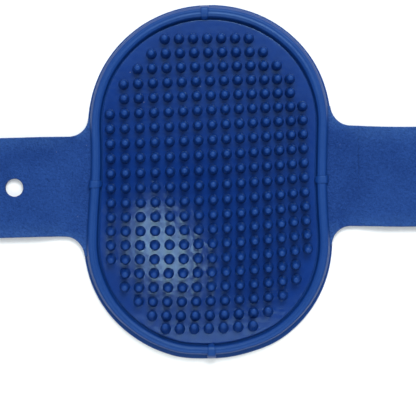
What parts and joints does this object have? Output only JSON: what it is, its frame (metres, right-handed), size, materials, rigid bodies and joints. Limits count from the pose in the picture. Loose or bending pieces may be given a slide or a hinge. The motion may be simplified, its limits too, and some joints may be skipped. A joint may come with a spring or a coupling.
{
  "type": "rubber curry brush",
  "caption": "Oval rubber grooming brush with rows of soft nubs inside a raised rim and two straps, one with holes and one with press studs, that close round the hand.",
  "frame": {"origin": "middle of the pad's flat palm face", "axes": "+Z towards the nub side, +X along the straps towards the one with the studs, +Y along the length of the oval pad"},
  "size_m": [0.2648, 0.129, 0.0081],
  "materials": {
    "web_rubber": "gloss",
    "rim_rubber": "satin",
    "nub_rubber": "satin",
    "strap_rubber": "matte",
    "stud_plastic": "gloss"
  },
  "bodies": {
    "pad": {"pad_web": "web_rubber", "rim_bead": "rim_rubber", "rim_lugs": "rim_rubber", "nub_row_01": "nub_rubber", "nub_row_02": "nub_rubber", "nub_row_03": "nub_rubber", "nub_row_04": "nub_rubber", "nub_row_05": "nub_rubber", "nub_row_06": "nub_rubber", "nub_row_07": "nub_rubber", "nub_row_08": "nub_rubber", "nub_row_09": "nub_rubber", "nub_row_10": "nub_rubber", "nub_row_11": "nub_rubber", "nub_row_12": "nub_rubber", "nub_row_13": "nub_rubber", "nub_row_14": "nub_rubber", "nub_row_15": "nub_rubber", "nub_row_16": "nub_rubber", "nub_row_17": "nub_rubber", "nub_row_18": "nub_rubber", "nub_row_19": "nub_rubber", "nub_row_20": "nub_rubber", "nub_row_21": "nub_rubber", "left_strap_root": "strap_rubber", "right_strap_root": "strap_rubber"},
    "left_link_1": {"left_strap_link_1": "strap_rubber"},
    "left_link_2": {"left_strap_link_2": "strap_rubber"},
    "left_link_3": {"left_strap_link_3": "strap_rubber"},
    "left_link_4": {"left_strap_link_4": "strap_rubber"},
    "left_link_5": {"left_strap_link_5": "strap_rubber"},
    "right_link_1": {"right_strap_link_1": "strap_rubber"},
    "right_link_2": {"right_strap_link_2": "strap_rubber"},
    "right_link_3": {"right_strap_link_3": "strap_rubber"},
    "right_link_4": {"right_strap_link_4": "strap_rubber"},
    "right_link_5": {"right_strap_link_5": "strap_rubber", "stud_post_1": "stud_plastic", "stud_post_2": "stud_plastic", "stud_cap_1": "stud_plastic", "stud_cap_2": "stud_plastic"}
  },
  "joints": [
    {"name": "left_fold_1", "type": "hinge", "parent": "pad", "child": "left_link_1", "pos_m": [-0.0475, 0, 0], "axis": [0, -1, 0], "range_deg": [-15, 60], "stiffness_Nm_per_rad": 0.0158},
    {"name": "left_fold_2", "type": "hinge", "parent": "left_link_1", "child": "left_link_2", "pos_m": [-0.0525, 0, 0], "axis": [0, -1, 0], "range_deg": [-11.25, 45], "stiffness_Nm_per_rad": 0.0082},
    {"name": "left_fold_3", "type": "hinge", "parent": "left_link_2", "child": "left_link_3", "pos_m": [-0.063, 0, 0], "axis": [0, -1, 0], "range_deg": [-7.5, 30], "stiffness_Nm_per_rad": 0.0048},
    {"name": "left_fold_4", "type": "hinge", "parent": "left_link_3", "child": "left_link_4", "pos_m": [-0.079, 0, 0], "axis": [0, -1, 0], "range_deg": [-7.5, 30], "stiffness_Nm_per_rad": 0.004},
    {"name": "left_fold_5", "type": "hinge", "parent": "left_link_4", "child": "left_link_5", "pos_m": [-0.095, 0, 0], "axis": [0, -1, 0], "range_deg": [-3.75, 15], "stiffness_Nm_per_rad": 0.004},
    {"name": "right_fold_1", "type": "hinge", "parent": "pad", "child": "right_link_1", "pos_m": [0.0475, 0, 0], "axis": [0, 1, 0], "range_deg": [-15, 60], "stiffness_Nm_per_rad": 0.0158},
    {"name": "right_fold_2", "type": "hinge", "parent": "right_link_1", "child": "right_link_2", "pos_m": [0.0525, 0, 0], "axis": [0, 1, 0], "range_deg": [-11.25, 45], "stiffness_Nm_per_rad": 0.01},
    {"name": "right_fold_3", "type": "hinge", "parent": "right_link_2", "child": "right_link_3", "pos_m": [0.0602, 0, 0], "axis": [0, 1, 0], "range_deg": [-7.5, 30], "stiffness_Nm_per_rad": 0.0053},
    {"name": "right_fold_4", "type": "hinge", "parent": "right_link_3", "child": "right_link_4", "pos_m": [0.0762, 0, 0], "axis": [0, 1, 0], "range_deg": [-7.5, 30], "stiffness_Nm_per_rad": 0.004},
    {"name": "right_fold_5", "type": "hinge", "parent": "right_link_4", "child": "right_link_5", "pos_m": [0.0922, 0, 0], "axis": [0, 1, 0], "range_deg": [-3.75, 15], "stiffness_Nm_per_rad": 0.004}
  ],
  "couplings": [
    {"joint": "left_fold_2", "follows": "left_fold_1", "ratio": 0.75},
    {"joint": "left_fold_3", "follows": "left_fold_1", "ratio": 0.5},
    {"joint": "left_fold_4", "follows": "left_fold_1", "ratio": 0.5},
    {"joint": "left_fold_5", "follows": "left_fold_1", "ratio": 0.25},
    {"joint": "right_fold_2", "follows": "right_fold_1", "ratio": 0.75},
    {"joint": "right_fold_3", "follows": "right_fold_1", "ratio": 0.5},
    {"joint": "right_fold_4", "follows": "right_fold_1", "ratio": 0.5},
    {"joint": "right_fold_5", "follows": "right_fold_1", "ratio": 0.25}
  ]
}
